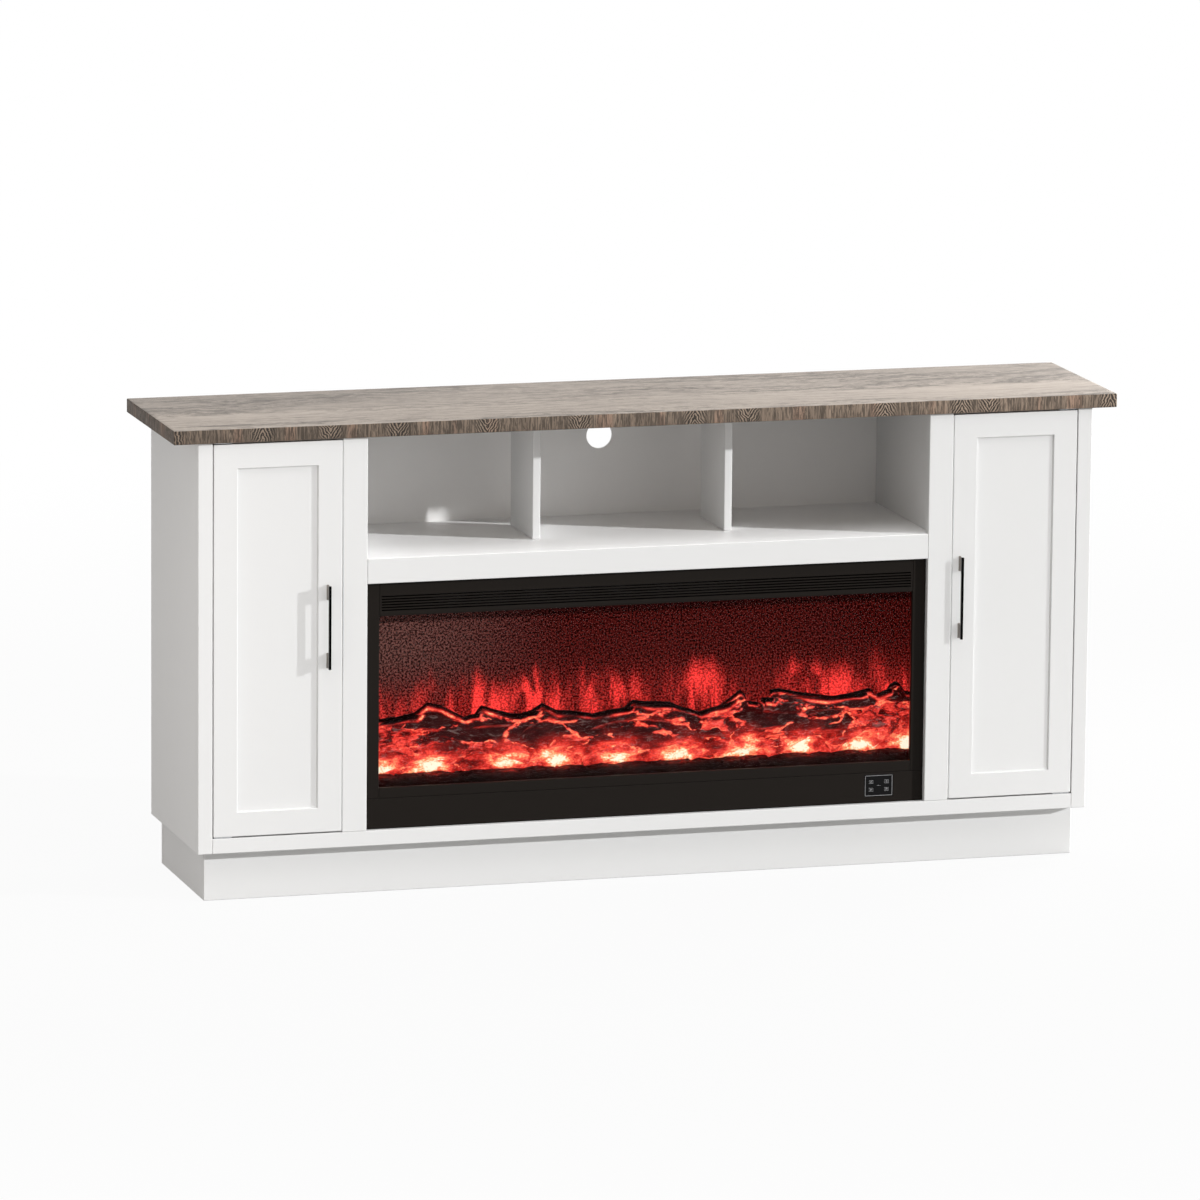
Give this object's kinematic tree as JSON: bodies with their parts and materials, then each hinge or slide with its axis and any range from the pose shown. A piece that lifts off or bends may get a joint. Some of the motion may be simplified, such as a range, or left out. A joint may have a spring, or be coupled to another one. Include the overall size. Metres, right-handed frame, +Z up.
{
  "type": "fireplace tv stand",
  "caption": "Long low cabinet with a wood-look top, a hinged door at each end, open cubbies over an electric fire, and a set-back plinth.",
  "frame": {"origin": "centre of the bounding box's underside, on the floor", "axes": "+X to the right along the length seen from the front, +Y towards the back, +Z up; the doors and the fire face -Y"},
  "size_m": [1.9812, 0.421, 0.9652],
  "materials": {
    "white_board": "satin white paint film on board",
    "oak_top": "weathered grey-brown oak film, matte",
    "backing_board": "white-faced thin board",
    "brushed_nickel": "brushed nickel",
    "zinc_steel": "zinc-plated steel",
    "black_steel": "matte black powder coat",
    "black_plastic": "fine-grained black plastic",
    "fire_glass": "clear tempered glass",
    "flame_screen": "translucent screen with red light behind",
    "log_resin": "moulded charred logs with glowing cracks",
    "ember_resin": "translucent ember bed lit from below",
    "lamp_board": "board with warm lamps",
    "bright_aluminium": "bright aluminium",
    "control_gloss": "gloss black"
  },
  "bodies": {
    "stand": {"left_side_panel": "white_board", "right_side_panel": "white_board", "left_partition": "white_board", "right_partition": "white_board", "floor_board": "white_board", "centre_shelf": "white_board", "left_outer_stile": "white_board", "left_inner_stile": "white_board", "right_inner_stile": "white_board", "right_outer_stile": "white_board", "bottom_rail": "white_board", "middle_rail": "white_board", "left_divider": "white_board", "right_divider": "white_board", "plinth_front": "white_board", "plinth_back": "white_board", "plinth_left": "white_board", "plinth_right": "white_board", "left_cabinet_shelf": "white_board", "right_cabinet_shelf": "white_board", "top_slab": "oak_top", "left_back_panel": "backing_board", "right_back_panel": "backing_board", "upper_back_panel": "backing_board", "left_upper_pivot": "zinc_steel", "left_lower_pivot": "zinc_steel", "bezel_left": "black_steel", "right_upper_pivot": "zinc_steel", "right_lower_pivot": "zinc_steel", "bezel_right": "black_steel", "fire_case": "black_steel", "fire_floor_plate": "black_steel", "fire_roof_plate": "black_steel", "bezel_sill": "black_steel", "louvre_grille": "black_steel", "lower_fascia": "black_steel", "fire_glass": "fire_glass", "flame_screen": "flame_screen", "ember_bed": "ember_resin", "log_set": "log_resin", "light_board": "lamp_board", "spinner_motor": "black_plastic", "blower_motor": "zinc_steel", "heater_block": "bright_aluminium", "power_inlet": "black_plastic", "control_panel": "control_gloss"},
    "left_door": {"left_door": "white_board", "left_handle_bar": "brushed_nickel", "left_handle_upper_post": "brushed_nickel", "left_handle_lower_post": "brushed_nickel"},
    "right_door": {"right_door": "white_board", "right_handle_bar": "brushed_nickel", "right_handle_upper_post": "brushed_nickel", "right_handle_lower_post": "brushed_nickel"},
    "power_key": {"power_key": "control_gloss"},
    "flame_key": {"flame_key": "control_gloss"},
    "heat_key": {"heat_key": "control_gloss"},
    "timer_key": {"timer_key": "control_gloss"},
    "flame_spinner": {"flame_spinner": "bright_aluminium"},
    "blower_wheel": {"blower_wheel": "black_plastic"}
  },
  "joints": [
    {"name": "left_door_hinge", "type": "hinge", "parent": "stand", "child": "left_door", "pos_m": [-0.888, -0.1789, 0.537], "axis": [0, 0, -1], "range_deg": [0, 110]},
    {"name": "right_door_hinge", "type": "hinge", "parent": "stand", "child": "right_door", "pos_m": [0.888, -0.1789, 0.537], "axis": [0, 0, 1], "range_deg": [0, 110]},
    {"name": "power_key_press", "type": "slide", "parent": "stand", "child": "power_key", "axis": [0, 1, 0], "range_m": [0, 0.0008], "stiffness_N_per_m": 500},
    {"name": "flame_key_press", "type": "slide", "parent": "stand", "child": "flame_key", "axis": [0, 1, 0], "range_m": [0, 0.0008], "stiffness_N_per_m": 500},
    {"name": "heat_key_press", "type": "slide", "parent": "stand", "child": "heat_key", "axis": [0, 1, 0], "range_m": [0, 0.0008], "stiffness_N_per_m": 500},
    {"name": "timer_key_press", "type": "slide", "parent": "stand", "child": "timer_key", "axis": [0, 1, 0], "range_m": [0, 0.0008], "stiffness_N_per_m": 500},
    {"name": "flame_spinner_turn", "type": "hinge", "parent": "stand", "child": "flame_spinner", "pos_m": [0, -0.0459, 0.2432], "axis": [1, 0, 0], "continuous": true},
    {"name": "blower_wheel_turn", "type": "hinge", "parent": "stand", "child": "blower_wheel", "pos_m": [0.43, -0.1056, 0.61315], "axis": [1, 0, 0], "continuous": true}
  ]
}
